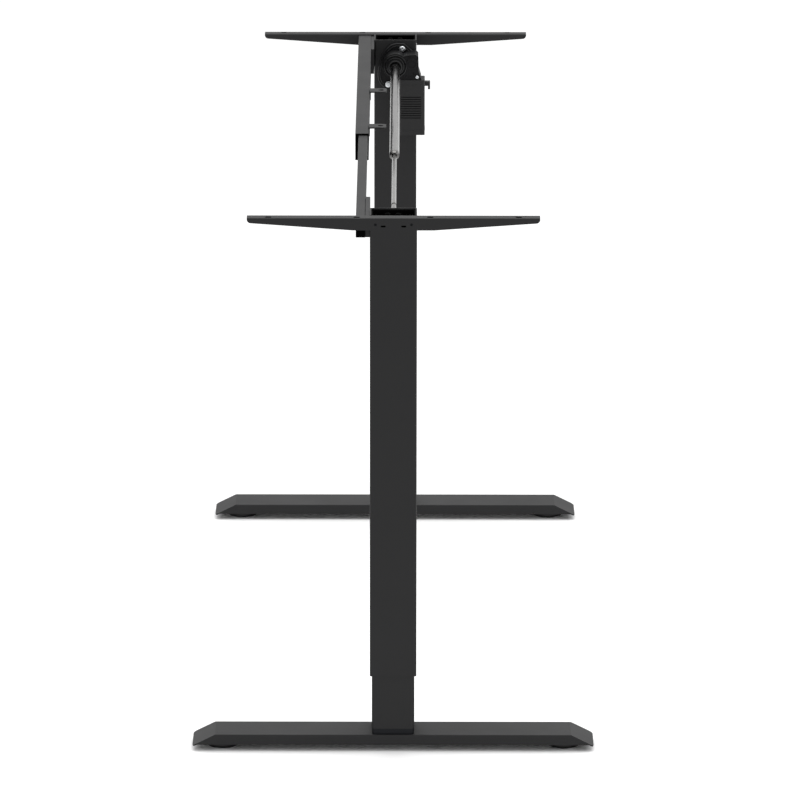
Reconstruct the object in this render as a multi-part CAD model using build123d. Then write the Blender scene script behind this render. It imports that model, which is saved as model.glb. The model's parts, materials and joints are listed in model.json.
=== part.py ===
from build123d import *
import math
import os

# Two-leg height adjustable desk frame.  Millimetres, +Z up, X along the desk, +Y to the rear.
# The origin is on the floor at the middle of the frame.  Each leg is drawn once, as the left
# leg about its own column axis with its outer side at -X, and then placed left and mirrored right.

# ---- whole frame ----
LEG_SPACING = 1337.0        # column axis to column axis, as shown
TOP_Z = 822.0               # where the desk top rests, as shown
LOWER_TRAVEL = 70.0         # how far the top can still go down from here
RAISE_TRAVEL = 380.0        # how far it can go up

# ---- feet ----
FOOT_HALF_LENGTH = 302.0
FOOT_FLAT_HALF = 268.0      # the flat top ends here and slopes down to the tip
FOOT_WIDTH = 72.0
FOOT_TOP = 25.5
FOOT_BOTTOM = 9.8
FOOT_TIP = 8.6
FOOT_SHEET = 2.0
FOOT_EDGE_R = 2.0
FOOT_TIP_R = 6.0
GLIDE_Y = 257.0
GLIDE_R = 24.2
GLIDE_STUD_R = 4.0
GLIDE_STUD_TOP = 22.5
GLIDE_TRAVEL = 7.0
NUT_BAR_Z = (11.5, 15.5)
NUT_BAR_HALF = 12.0

# ---- telescoping column ----
COLUMN = 70.0
COLUMN_WALL = 2.0
COLUMN_R = 3.0
OUTER_BOTTOM = 117.0
INNER = 64.0
INNER_WALL = 1.8
INNER_R = 4.0
BASE_PLATE = 63.4
BASE_PLATE_TOP = 34.1
INNER_TOP = 650.0
FOOT_SCREW_AT = 21.0
M6_R = 3.0
M6_HEAD_R = 5.5
M6_HEAD_H = 3.0
CLEARANCE = 0.1             # running clearance of guides, nuts and journals
GUIDE_LENGTH = 42.0

# ---- drive inside the column ----
SHAFT_Z = 786.0             # height of the cross shaft
SCREW_R = 7.0
SCREW_BOTTOM = 225.0
JOURNAL_R = 5.0
GEAR_R = 14.0
GEAR_NOSE = 8.0
GEAR_HUB_R = 8.0
GEAR_GAP = 0.5
GEAR_TEETH = 16
HOUSING_HALF = 32.8
HOUSING_BOTTOM = 752.0
HOUSING_CAVITY = 24.0
COVER_Z = (803.0, 819.5)
COVER_FLOOR = 806.0
COVER_WALL = 2.2
COVER_BOSS_X = 8.0
COVER_BOSS_Y = (8.5, -7.7)
COVER_BOSS_R = 4.2
COVER_BOSS_TOP = 818.9
BEARING_R = 13.0
NUT_BOTTOM = 612.0

# ---- side bracket, bent from 2 mm sheet ----
SHEET = 2.0
BRACKET_HALF = 217.0
FLANGE = 20.5
WEB_MIDDLE = 18.6
WEB_END = 7.6
WEB_FLAT_HALF = 60.0
WEB_CORNER_R = 6.0
BEND_R = 2.4
SLOT_INNER_Y = 54.5
SLOT_OUTER_Y = 185.5
SLOT_LENGTH = 10.0
SLOT_WIDTH = 7.0
SLOT_FROM_WEB = 6.5           # web's outer face to the slots' middle
BRACKET_SCREW_Y = 26.7
BRACKET_SCREW_Z = 812.0
BRACKET_SCREW_R = 2.0
BRACKET_SCREW_GRIP = 9.0
WEB_SLOT_Y = 15.2
WEB_SLOT_Z = 809.4

# ---- telescoping cross beam, behind the columns ----
BEAM_FRONT = 40.0
BEAM_REAR = 61.0
BEAM_BOTTOM = 777.8
BEAM_TOP = 819.8
BEAM_WALL = 1.5
BEAM_MOUTH = -96.0          # open end of the outer beam
BEAM_RIGHT = 698.0
INNER_BEAM_FRONT = 41.7
INNER_BEAM_REAR = 55.9
INNER_BEAM_BOTTOM = 792.0
INNER_BEAM_TOP = 817.3
INNER_BEAM_LEFT = -697.5
INNER_BEAM_RIGHT = 150.0
INSERT_LENGTH = 40.0
INSERT_FLANGE = 1.5
CAP_THICKNESS = 3.0
LEFT_SADDLE_END = -544.0
RIGHT_SADDLE_END = 570.0
SADDLE_OUTER = 698.5
SADDLE_WALL = 1.5
SADDLE_TOP = 819.0
TAB_X = (227.0, -47.0)
TAB_HALF = 13.5
TAB_TIP = 13.0
TAB_HOLE_Y = 22.0
TAB_HOLE_R = 4.5
TAB_LEG_BOTTOM = 808.0

# ---- cross shaft, gearbox and motor ----
TUBE_R = 8.0
TUBE_BORE_R = 5.25
TUBE_MOUTH = -102.0
TUBE_RIGHT = 596.0
HEX_FLATS = 7.0
ROD_RIGHT = 70.0
ROD_NECK_X = -455.0
ROD_NECK_R = 2.4
STUB_LEFT = 560.0
GEARBOX_FRONT = 591.5
GEARBOX_SPLIT = 603.0
GEARBOX_PLATE = 627.5
HUB_FRONT = 583.5
HUB_R = 12.5
DISC_R = 20.5
WHEEL_R = 17.5
WORM_R = 5.5
WORM_Y = -23.4
WORM_X = 615.0
MOTOR_X = (590.0, 628.0)
MOTOR_Y = (-48.7, -7.8)
MOTOR_Z = (670.5, 763.0)
RIB_COUNT = 10
RIB_Z = (699.3, 734.3)

# ---- screws that hold two parts together, so both have a hole there ----
GEARBOX_SCREWS = ((-11.6, 808.8), (11.8, 748.2), (-36.0, 768.0))
GEARBOX_SCREW_R = 2.5
COVER_SCREW_R = 1.5
SADDLE_SCREW_Z = 800.0
SADDLE_SCREW_AT = 18.0
SADDLE_SCREW_R = 2.5
SADDLE_HEAD_R = 4.2
SADDLE_HEAD_H = 0.8
LEFT_BEAM_SCREWS = (-600.0, -565.0)
RIGHT_BEAM_SCREWS = (590.0, 610.0)

LEFT_FACE = -LEG_SPACING / 2
COLUMN_HALF = COLUMN / 2
COLUMN_INSIDE = COLUMN - 2 * COLUMN_WALL
RIGHT_INNER_FACE = LEG_SPACING / 2 - COLUMN_HALF

parts = {}


# ---- small shape helpers ----
def block(x, y, z):
    """A box from three (low, high) pairs."""
    size = [high - low for low, high in (x, y, z)]
    centre = [(low + high) / 2 for low, high in (x, y, z)]
    return Pos(*centre) * Box(*size)


def rod_z(x, y, z, radius):
    return Pos(x, y, (z[0] + z[1]) / 2) * Cylinder(radius, z[1] - z[0])


def rod_x(x, y, z, radius):
    return Pos((x[0] + x[1]) / 2, y, z) * Rot(0, 90, 0) * Cylinder(radius, x[1] - x[0])


def rod_y(x, y, z, radius):
    return Pos(x, (y[0] + y[1]) / 2, z) * Rot(90, 0, 0) * Cylinder(radius, y[1] - y[0])


def prism_z(outline, z):
    return extrude(Pos(0, 0, z[0]) * outline, z[1] - z[0])


def square_bar(side, radius, z):
    return prism_z(RectangleRounded(side, side, radius), z)


def square_ring(outside, outside_r, inside, inside_r, z):
    return square_bar(outside, outside_r, z) - square_bar(inside, inside_r, z)


def side_profile(points, x):
    """Extrude an outline given as (y, z) points along X."""
    face = make_face(Polyline([(x[0], y, z) for y, z in points], close=True))
    return extrude(face, amount=x[1] - x[0], dir=(1, 0, 0))


def hex_bar(x, flats):
    """Hexagonal bar along X on the cross shaft's axis, one flat uppermost."""
    corner = flats / math.sqrt(3)
    points = []
    for step in range(6):
        angle = math.radians(60 * step)
        points.append((corner * math.cos(angle), SHAFT_Z + corner * math.sin(angle)))
    return side_profile(points, x)


def screw_x(x_head, x_tip, y, z, radius, head_r, head_h):
    """Pan head screw along X: the head ends at x_head, outside, and the shank runs to x_tip."""
    way = 1 if x_tip > x_head else -1
    head = rod_x(sorted((x_head, x_head + way * head_h)), y, z, head_r)
    shank = rod_x(sorted((x_head + way * head_h, x_tip)), y, z, radius)
    socket = rod_x(sorted((x_head, x_head + way * head_h * 0.6)), y, z, radius * 0.55)
    return head + shank - socket


def both_legs(name, shape, left_x=LEFT_FACE):
    """Place a part drawn for the left leg, and its mirror image for the right leg."""
    parts["left_" + name] = Pos(left_x, 0, 0) * shape
    parts["right_" + name] = Pos(-left_x, 0, 0) * mirror(shape, about=Plane.YZ)


# ---- foot and levelling glides ----
def foot():
    slope = math.atan2(FOOT_TOP - FOOT_TIP, FOOT_HALF_LENGTH - FOOT_FLAT_HALF)
    inward = (-math.sin(slope) * FOOT_SHEET, -math.cos(slope) * FOOT_SHEET)
    tip_inside = (FOOT_HALF_LENGTH + inward[0], FOOT_TIP + inward[1])
    run = (tip_inside[1] - FOOT_BOTTOM) / math.tan(slope)
    skirt_end = tip_inside[0] + run
    half = [(FOOT_FLAT_HALF, FOOT_TOP), (FOOT_HALF_LENGTH, FOOT_TIP), tip_inside, (skirt_end, FOOT_BOTTOM)]
    outline = half + [(-y, z) for y, z in reversed(half)]
    plan = RectangleRounded(FOOT_WIDTH, 2 * FOOT_HALF_LENGTH, FOOT_TIP_R)
    shell = side_profile(outline, (-FOOT_WIDTH / 2, FOOT_WIDTH / 2)) & prism_z(plan, (0, FOOT_TOP))
    long_edges = [
        edge for edge in shell.edges()
        if abs(abs(edge.center().X) - FOOT_WIDTH / 2) < 0.01 and edge.center().Z > FOOT_TOP - 0.01
    ]
    shell = fillet(long_edges, FOOT_EDGE_R)
    flat_inside = FOOT_FLAT_HALF - FOOT_SHEET * math.tan(slope / 2)
    floor_y = tip_inside[0] + tip_inside[1] / math.tan(slope)
    hollow_half = [(flat_inside, FOOT_TOP - FOOT_SHEET), (floor_y, 0.0)]
    hollow = side_profile(
        hollow_half + [(-y, z) for y, z in reversed(hollow_half)],
        (-FOOT_WIDTH / 2 + FOOT_SHEET, FOOT_WIDTH / 2 - FOOT_SHEET),
    )
    shell -= hollow
    for x, y in foot_screw_places():
        shell -= rod_z(x, y, (FOOT_BOTTOM, FOOT_TOP + 1), M6_R + CLEARANCE)
    return shell


def foot_screw_places():
    return [(sx * FOOT_SCREW_AT, sy * FOOT_SCREW_AT) for sx in (-1, 1) for sy in (-1, 1)]


def glide(y):
    pad = rod_z(0, y, (0, FOOT_BOTTOM - 0.5), GLIDE_R)
    pad = fillet(pad.edges().sort_by(Axis.Z)[0], 2.2)
    stud = rod_z(0, y, (FOOT_BOTTOM - 0.5, GLIDE_STUD_TOP), GLIDE_STUD_R)
    return pad + stud


def glide_nut_bars():
    inside = FOOT_WIDTH / 2 - FOOT_SHEET
    bars = []
    for y in (-GLIDE_Y, GLIDE_Y):
        bar = block((-inside, inside), (y - NUT_BAR_HALF, y + NUT_BAR_HALF), NUT_BAR_Z)
        bars.append(bar - rod_z(0, y, NUT_BAR_Z, GLIDE_STUD_R + 0.06))
    return Compound(bars)


def base_plate():
    plate = square_bar(BASE_PLATE, INNER_R, (FOOT_TOP, BASE_PLATE_TOP))
    for x, y in foot_screw_places():
        plate -= rod_z(x, y, (FOOT_TOP, BASE_PLATE_TOP), M6_R)
    return plate


def foot_screws():
    seat = FOOT_TOP - FOOT_SHEET
    screws = []
    for x, y in foot_screw_places():
        head = rod_z(x, y, (seat - M6_HEAD_H, seat), M6_HEAD_R)
        socket = rod_z(x, y, (seat - M6_HEAD_H, seat - 1.0), M6_R * 0.6)
        screws.append(head - socket + rod_z(x, y, (seat, BASE_PLATE_TOP - 1), M6_R))
    return Compound(screws)


# ---- telescoping tubes and their guides ----
def inner_column():
    inside = INNER - 2 * INNER_WALL
    return square_ring(INNER, INNER_R, inside, INNER_R - INNER_WALL, (BASE_PLATE_TOP, INNER_TOP))


def upper_guide():
    """Plastic collar on the top of the inner tube, running in the outer tube."""
    outside = COLUMN_INSIDE - 2 * CLEARANCE
    z = (INNER_TOP - GUIDE_LENGTH - 4, INNER_TOP - 4)
    return square_ring(outside, COLUMN_R - COLUMN_WALL, INNER, INNER_R, z)


def lower_guide():
    """Plastic collar in the mouth of the outer tube, running on the inner tube."""
    inside = INNER + 2 * CLEARANCE
    z = (OUTER_BOTTOM + 1.5, OUTER_BOTTOM + 1.5 + GUIDE_LENGTH)
    return square_ring(COLUMN_INSIDE, COLUMN_R - COLUMN_WALL, inside, INNER_R + CLEARANCE, z)


def outer_column():
    tube = square_ring(COLUMN, COLUMN_R, COLUMN_INSIDE, COLUMN_R - COLUMN_WALL, (OUTER_BOTTOM, TOP_Z))
    wide = (-COLUMN_HALF - 1, COLUMN_HALF + 1)
    web_seat = block((-COLUMN_HALF - 1, -COLUMN_HALF + SHEET), wide, (TOP_Z - WEB_MIDDLE, TOP_Z + 1))
    flange_seat = block((-COLUMN_HALF - 1, -COLUMN_HALF + FLANGE), wide, (TOP_Z - SHEET, TOP_Z + 1))
    shaft_hole = rod_x((COLUMN_HALF - 5, COLUMN_HALF + 1), 0, SHAFT_Z, 11.0)
    tube = tube - web_seat - flange_seat - shaft_hole
    for x in (-SADDLE_SCREW_AT, SADDLE_SCREW_AT):
        tube -= rod_y(x, (COLUMN_HALF - 4, COLUMN_HALF + 1), SADDLE_SCREW_Z, SADDLE_SCREW_R)
    for y, z in GEARBOX_SCREWS[:2]:
        tube -= rod_x((COLUMN_HALF - 4, COLUMN_HALF + 1), y, z, GEARBOX_SCREW_R)
    return tube


# ---- drive inside each column ----
def gear_housing():
    """Die-cast cup in the column's top that carries the bearing and both gears."""
    x = (-HOUSING_HALF, HOUSING_HALF)
    body = block(x, x, (HOUSING_BOTTOM, COVER_Z[0]))
    body = fillet(body.edges().filter_by(Axis.Z), 1.5)
    cavity = (-HOUSING_CAVITY, HOUSING_CAVITY)
    body -= block(cavity, cavity, (HOUSING_BOTTOM + 11, COVER_Z[0]))
    body -= rod_z(0, 0, (HOUSING_BOTTOM, HOUSING_BOTTOM + 11), BEARING_R - 3)
    body -= rod_z(0, 0, (HOUSING_BOTTOM + 3, HOUSING_BOTTOM + 11), BEARING_R)
    return body - rod_x((HOUSING_CAVITY, HOUSING_HALF), 0, SHAFT_Z, GEAR_HUB_R + 0.5)


def gear_cover():
    """Black moulded tray that closes the cup; the side bracket is screwed to its solid outer edge."""
    x = (-HOUSING_HALF, HOUSING_HALF)
    lid = block(x, x, COVER_Z)
    lid = fillet(lid.edges().filter_by(Axis.Z), 1.5)
    for side in (-1, 1):
        pocket = (side * WEB_SLOT_Y - 4, side * WEB_SLOT_Y + 4)
        lid -= block((-HOUSING_HALF, -HOUSING_CAVITY), pocket, (WEB_SLOT_Z - 2, WEB_SLOT_Z + 2))
        hole_x = (-HOUSING_HALF, -HOUSING_HALF + BRACKET_SCREW_GRIP)
        lid -= rod_x(hole_x, side * BRACKET_SCREW_Y, BRACKET_SCREW_Z, BRACKET_SCREW_R)
    reach = HOUSING_HALF - COVER_WALL
    hollow = block((-HOUSING_CAVITY + 1, reach), (-reach, reach), (COVER_FLOOR, COVER_Z[1] + 1))
    lid -= fillet(hollow.edges().filter_by(Axis.Z), 2.0)
    for y_boss in COVER_BOSS_Y:
        lid += rod_z(COVER_BOSS_X, y_boss, (COVER_FLOOR, COVER_BOSS_TOP), COVER_BOSS_R)
    return lid


def top_bearing():
    z = (HOUSING_BOTTOM + 3, HOUSING_BOTTOM + 11)
    ring = rod_z(0, 0, z, BEARING_R) - rod_z(0, 0, z, JOURNAL_R + 0.05)
    groove = rod_z(0, 0, (z[1] - 0.8, z[1]), BEARING_R - 2.5) - rod_z(0, 0, (z[1] - 0.8, z[1]), JOURNAL_R + 2.2)
    return ring - groove


def bevel_gear():
    """Mitre gear about +Z below the point where both axes meet, with straight tooth gaps."""
    large_z = SHAFT_Z - GEAR_R - GEAR_GAP
    nose_z = SHAFT_Z - GEAR_NOSE - GEAR_GAP
    hub_z = HOUSING_BOTTOM + 11.5
    outline = [
        (0, hub_z), (GEAR_HUB_R, hub_z), (GEAR_HUB_R, large_z - 3), (GEAR_R, large_z - 3),
        (GEAR_R, large_z), (GEAR_NOSE, nose_z), (0, nose_z),
    ]
    face = make_face(Polyline([(r, 0, z) for r, z in outline], close=True))
    gear = revolve(face, Axis.Z, 360)
    middle_r = (GEAR_R + GEAR_NOSE) / 2
    middle_z = (large_z + nose_z) / 2
    gap = Pos(middle_r, 0, middle_z) * Rot(0, 45, 0) * Box(14, 1.4, 2.4)
    for step in range(GEAR_TEETH):
        gear -= Rot(0, 0, 360 / GEAR_TEETH * step) * gap
    return gear


def screw_bevel_gear():
    return bevel_gear() - rod_z(0, 0, (HOUSING_BOTTOM, SHAFT_Z), JOURNAL_R)


def shaft_bevel_gear(bore):
    """The same gear turned on to the left end of the cross shaft, inside the column's inner face."""
    about_axes_point = Pos(0, 0, SHAFT_Z) * Rot(0, -90, 0) * Pos(0, 0, -SHAFT_Z)
    return Pos(LEFT_FACE, 0, 0) * about_axes_point * bevel_gear() - bore


def lead_screw():
    screw = rod_z(0, 0, (SCREW_BOTTOM, HOUSING_BOTTOM + 1), SCREW_R)
    screw = chamfer(screw.edges().sort_by(Axis.Z)[0], 2.0)
    return screw + rod_z(0, 0, (HOUSING_BOTTOM + 1, SHAFT_Z - GEAR_NOSE - GEAR_GAP), JOURNAL_R)


def screw_nut():
    inside = INNER - 2 * INNER_WALL
    carrier = square_bar(inside, INNER_R - INNER_WALL, (NUT_BOTTOM, INNER_TOP))
    return carrier - rod_z(0, 0, (NUT_BOTTOM, INNER_TOP), SCREW_R + 0.08)


# ---- side bracket ----
def slot_along_y(x, y, z, length, width):
    reach = (length - width) / 2
    slot = block((x - width / 2, x + width / 2), (y - reach, y + reach), z)
    for end in (-1, 1):
        slot += rod_z(x, y + end * reach, z, width / 2)
    return slot


def side_bracket():
    outer_x = -COLUMN_HALF
    low = TOP_Z - WEB_MIDDLE
    half = [(BRACKET_HALF, TOP_Z), (BRACKET_HALF, TOP_Z - WEB_END), (WEB_FLAT_HALF, low)]
    outline = half + [(-y, z) for y, z in reversed(half)]
    solid = side_profile(outline, (outer_x, outer_x + FLANGE))
    tip_edges = [
        edge for edge in solid.edges().filter_by(Axis.X)
        if abs(edge.center().Y) > BRACKET_HALF - 1 and edge.center().Z < TOP_Z - 1
    ]
    solid = fillet(tip_edges, WEB_CORNER_R)
    bend = [
        edge for edge in solid.edges().filter_by(Axis.Y)
        if abs(edge.center().Y) < 1 and edge.center().Z > TOP_Z - 0.01
    ]
    solid = fillet(bend, BEND_R)
    under = (low - 1, TOP_Z - SHEET)
    between_webs = (outer_x + SHEET, outer_x + FLANGE - SHEET)
    bracket = solid - block(between_webs, (-BRACKET_HALF - 1, BRACKET_HALF + 1), under)
    past_inner_web = (outer_x + SHEET, outer_x + FLANGE + 1)
    bracket -= block(past_inner_web, (-COLUMN_HALF - 0.3, BEAM_REAR + 0.5), under)
    slot_x = outer_x + SLOT_FROM_WEB
    for side in (-1, 1):
        for y in (SLOT_INNER_Y, SLOT_OUTER_Y):
            z = (TOP_Z - SHEET - 1, TOP_Z + 1)
            bracket -= slot_along_y(slot_x, side * y, z, SLOT_LENGTH, SLOT_WIDTH)
        web_slot = block(
            (outer_x - 1, outer_x + SHEET + 1),
            (side * WEB_SLOT_Y - 3.7, side * WEB_SLOT_Y + 3.7),
            (WEB_SLOT_Z - 1.4, WEB_SLOT_Z + 1.4),
        )
        bracket -= fillet(web_slot.edges().filter_by(Axis.X), 1.3)
        hole_x = (outer_x - 1, outer_x + SHEET + 1)
        bracket -= rod_x(hole_x, side * BRACKET_SCREW_Y, BRACKET_SCREW_Z, BRACKET_SCREW_R)
    return bracket


def bracket_screws():
    """Flush socket screws that hold the bracket's web against the gear housing's cover."""
    screws = []
    start = -COLUMN_HALF + 0.3
    for side in (-1, 1):
        y = side * BRACKET_SCREW_Y
        shank = rod_x((start, -HOUSING_HALF + BRACKET_SCREW_GRIP), y, BRACKET_SCREW_Z, BRACKET_SCREW_R)
        socket = rod_x((start, start + 1.8), y, BRACKET_SCREW_Z, BRACKET_SCREW_R * 0.6)
        screws.append(shank - socket)
    return Compound(screws)


# ---- saddles that join the beam to the columns ----
def saddle(x, y, z_low, column_x, beam_x):
    """Folded box, open underneath, between the column's rear face and the beam."""
    box = block(x, y, (z_low, SADDLE_TOP))
    inside_x = (x[0] + SADDLE_WALL, x[1] - SADDLE_WALL)
    inside_y = (y[0] + SADDLE_WALL, y[1] - SADDLE_WALL)
    box -= block(inside_x, inside_y, (z_low - 1, SADDLE_TOP - SADDLE_WALL))
    for offset in (-SADDLE_SCREW_AT, SADDLE_SCREW_AT):
        box -= rod_y(column_x + offset, (y[0] - 1, inside_y[0]), SADDLE_SCREW_Z, SADDLE_SCREW_R)
    for place in beam_x:
        box -= rod_y(place, (inside_y[1], y[1] + 1), SADDLE_SCREW_Z, SADDLE_SCREW_R)
    return box


def saddle_screws(y, column_x, beam_x):
    """Two flat-headed screws into the column and two into the beam, all along Y."""
    screws = []
    for offset in (-SADDLE_SCREW_AT, SADDLE_SCREW_AT):
        seat = y[0] + SADDLE_WALL
        head = rod_y(column_x + offset, (seat, seat + SADDLE_HEAD_H), SADDLE_SCREW_Z, SADDLE_HEAD_R)
        shank_y = (y[0] - COLUMN_WALL, seat)
        screws.append(head + rod_y(column_x + offset, shank_y, SADDLE_SCREW_Z, SADDLE_SCREW_R))
    for place in beam_x:
        seat = y[1] - SADDLE_WALL
        head = rod_y(place, (seat - SADDLE_HEAD_H, seat), SADDLE_SCREW_Z, SADDLE_HEAD_R)
        shank_y = (seat, y[1] + BEAM_WALL)
        screws.append(head + rod_y(place, shank_y, SADDLE_SCREW_Z, SADDLE_SCREW_R))
    return Compound(screws)


# ---- cross beam ----
def tube_along_x(x, y, z, wall, radius):
    outer = fillet(block(x, y, z).edges().filter_by(Axis.X), radius)
    inner_y = (y[0] + wall, y[1] - wall)
    inner_z = (z[0] + wall, z[1] - wall)
    return outer - block((x[0] - 1, x[1] + 1), inner_y, inner_z)


def outer_beam():
    beam = tube_along_x(
        (BEAM_MOUTH, BEAM_RIGHT), (BEAM_FRONT, BEAM_REAR), (BEAM_BOTTOM, BEAM_TOP), BEAM_WALL, 1.2
    )
    for x in clamp_places():
        beam -= rod_z(x, clamp_y(), (BEAM_BOTTOM - 1, BEAM_BOTTOM + BEAM_WALL + 1), M6_R)
    for x in RIGHT_BEAM_SCREWS:
        beam -= rod_y(x, (BEAM_FRONT - 1, BEAM_FRONT + BEAM_WALL + 1), SADDLE_SCREW_Z, SADDLE_SCREW_R)
    return beam


def inner_beam():
    beam = tube_along_x(
        (INNER_BEAM_LEFT, INNER_BEAM_RIGHT), (INNER_BEAM_FRONT, INNER_BEAM_REAR),
        (INNER_BEAM_BOTTOM, INNER_BEAM_TOP), BEAM_WALL, 1.2,
    )
    for x in LEFT_BEAM_SCREWS:
        hole_y = (INNER_BEAM_FRONT - 1, INNER_BEAM_FRONT + BEAM_WALL + 1)
        beam -= rod_y(x, hole_y, SADDLE_SCREW_Z, SADDLE_SCREW_R)
    return beam


def clamp_places():
    return [BEAM_MOUTH + 10, BEAM_MOUTH + 30]


def clamp_y():
    return (INNER_BEAM_FRONT + INNER_BEAM_REAR) / 2


def inner_beam_section(x):
    return block(x, (INNER_BEAM_FRONT, INNER_BEAM_REAR), (INNER_BEAM_BOTTOM, INNER_BEAM_TOP))


def outer_beam_section(x):
    return block(x, (BEAM_FRONT, BEAM_REAR), (BEAM_BOTTOM, BEAM_TOP))


def beam_guide_insert():
    """Black moulded liner in the mouth of the outer beam, with a flange that covers its edge."""
    x = (BEAM_MOUTH, BEAM_MOUTH + INSERT_LENGTH)
    y = (BEAM_FRONT + BEAM_WALL, BEAM_REAR - BEAM_WALL)
    z = (BEAM_BOTTOM + BEAM_WALL, BEAM_TOP - BEAM_WALL)
    window_y = (BEAM_FRONT, INNER_BEAM_REAR + CLEARANCE)
    window_z = (INNER_BEAM_BOTTOM - CLEARANCE, INNER_BEAM_TOP + CLEARANCE)
    liner = block(x, y, z) - block(x, window_y, window_z)
    flange_x = (BEAM_MOUTH - INSERT_FLANGE, BEAM_MOUTH)
    liner += outer_beam_section(flange_x) - block(flange_x, (BEAM_FRONT + BEAM_WALL, window_y[1]), window_z)
    for place in clamp_places():
        liner -= rod_z(place, clamp_y(), (z[0], window_z[0]), M6_R)
    return liner


def width_clamp_screws():
    """Two screws from below that lock the inner beam in the outer one."""
    screws = []
    for x in clamp_places():
        head = rod_z(x, clamp_y(), (BEAM_BOTTOM - M6_HEAD_H, BEAM_BOTTOM), M6_HEAD_R)
        head -= rod_z(x, clamp_y(), (BEAM_BOTTOM - M6_HEAD_H, BEAM_BOTTOM - 1), M6_R * 0.6)
        shank = rod_z(x, clamp_y(), (BEAM_BOTTOM, INNER_BEAM_BOTTOM - CLEARANCE), M6_R)
        screws.append(head + shank)
    return Compound(screws)


def top_tab(x_centre):
    """Angle on the beam's front face that takes one screw into the desk top."""
    x = (x_centre - TAB_HALF, x_centre + TAB_HALF)
    plate = block(x, (TAB_TIP, BEAM_FRONT), (TOP_Z - SHEET, TOP_Z))
    corner_edges = [edge for edge in plate.edges().filter_by(Axis.Z) if edge.center().Y < TAB_TIP + 1]
    plate = fillet(corner_edges, 5.0)
    plate -= rod_z(x_centre, TAB_HOLE_Y, (TOP_Z - SHEET - 1, TOP_Z + 1), TAB_HOLE_R)
    leg = block(x, (BEAM_FRONT - 1.6, BEAM_FRONT), (TAB_LEG_BOTTOM, TOP_Z - SHEET))
    return plate + leg


# ---- cross shaft ----
def shaft_tube():
    """Round steel tube; a hexagonal collar pressed into its mouth drives the rod that slides in it."""
    tube = rod_x((TUBE_MOUTH, TUBE_RIGHT), 0, SHAFT_Z, TUBE_R)
    tube -= rod_x((TUBE_MOUTH - 1, TUBE_MOUTH + 14), 0, SHAFT_Z, TUBE_BORE_R)
    tube -= rod_x((TUBE_MOUTH + 44, TUBE_RIGHT + 1), 0, SHAFT_Z, TUBE_BORE_R)
    return tube - hex_bar((TUBE_MOUTH, TUBE_MOUTH + 50), HEX_FLATS + 2 * CLEARANCE)


def hex_rod():
    """Hexagonal rod with a turned neck, from the left gear into the tube."""
    left = LEFT_FACE + GEAR_NOSE + GEAR_GAP
    rod = hex_bar((left, ROD_RIGHT), HEX_FLATS)
    groove = rod_x((ROD_NECK_X - 5, ROD_NECK_X + 5), 0, SHAFT_Z, HEX_FLATS)
    groove -= rod_x((ROD_NECK_X - 5, ROD_NECK_X + 5), 0, SHAFT_Z, ROD_NECK_R)
    return rod - groove


def stub_shaft():
    """Solid shaft from inside the tube through the worm wheel to the right gear."""
    right = -LEFT_FACE - GEAR_NOSE - GEAR_GAP
    shaft = rod_x((STUB_LEFT, TUBE_RIGHT), 0, SHAFT_Z, TUBE_BORE_R)
    return shaft + rod_x((TUBE_RIGHT, right), 0, SHAFT_Z, JOURNAL_R)


# ---- worm gearbox and motor on the right column's inner face ----
def arc_points(centre_y, centre_z, radius, start, end, steps):
    points = []
    for step in range(steps + 1):
        angle = math.radians(start + (end - start) * step / steps)
        points.append((centre_y + radius * math.cos(angle), centre_z + radius * math.sin(angle)))
    return points


def lobe_outline():
    """Round the worm wheel at +Y, then out to the worm and motor side at -Y."""
    disc = arc_points(0, SHAFT_Z, DISC_R, -104, 130, 24)
    worm_side = [(-19, 804), (-33, 805.5), (-37.8, 801.8), (-38.4, 778), (-42.6, 765)]
    return disc + worm_side + [(-42.6, MOTOR_Z[1]), (-7.6, MOTOR_Z[1])]


def plate_outline():
    """Mounting plate: a tall arch over the shaft, cut straight at -Y, with a screw ear low at +Y."""
    left_side = [(18, 743), (25.5, 750), (28.6, 760), (28.6, 772), (24.2, 790), (17.7, 804.9)]
    top = [(11.1, 811.6), (7, 815), (-1, 817.6), (-14.3, 817.4), (-34.2, 799.5)]
    return left_side + top + [(-34.2, 772), (2, 772), (5, 746), (9, 742)]


def gearbox_cavity():
    wheel = rod_x((GEARBOX_SPLIT + 2, RIGHT_INNER_FACE), 0, SHAFT_Z, WHEEL_R + 1)
    wheel += rod_x((GEARBOX_SPLIT - 1, GEARBOX_SPLIT + 3), 0, SHAFT_Z, JOURNAL_R + 0.3)
    return wheel + rod_z(WORM_X, WORM_Y, (MOTOR_Z[1] - 5, 802), WORM_R + 1)


def gearbox_housing():
    body = side_profile(lobe_outline(), (GEARBOX_SPLIT, RIGHT_INNER_FACE))
    body += side_profile(plate_outline(), (GEARBOX_PLATE, RIGHT_INNER_FACE))
    body -= gearbox_cavity()
    for y, z in GEARBOX_SCREWS[:2]:
        body -= rod_x((GEARBOX_PLATE - 1, RIGHT_INNER_FACE + 1), y, z, GEARBOX_SCREW_R)
    return body - rod_x((GEARBOX_SPLIT, GEARBOX_SPLIT + 10), *GEARBOX_SCREWS[2], COVER_SCREW_R)


def gearbox_cover():
    cover = side_profile(lobe_outline(), (GEARBOX_FRONT, GEARBOX_SPLIT))
    cover += rod_x((HUB_FRONT, GEARBOX_FRONT), 0, SHAFT_Z, HUB_R)
    cover -= rod_x((HUB_FRONT - 1, GEARBOX_SPLIT + 1), 0, SHAFT_Z, TUBE_R + 0.3)
    cover -= rod_x((GEARBOX_FRONT - 1, GEARBOX_SPLIT + 1), *GEARBOX_SCREWS[2], COVER_SCREW_R)
    groove_x = (GEARBOX_FRONT, GEARBOX_FRONT + 1.2)
    return cover - (rod_x(groove_x, 0, SHAFT_Z, DISC_R - 2) - rod_x(groove_x, 0, SHAFT_Z, HUB_R + 3))


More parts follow.
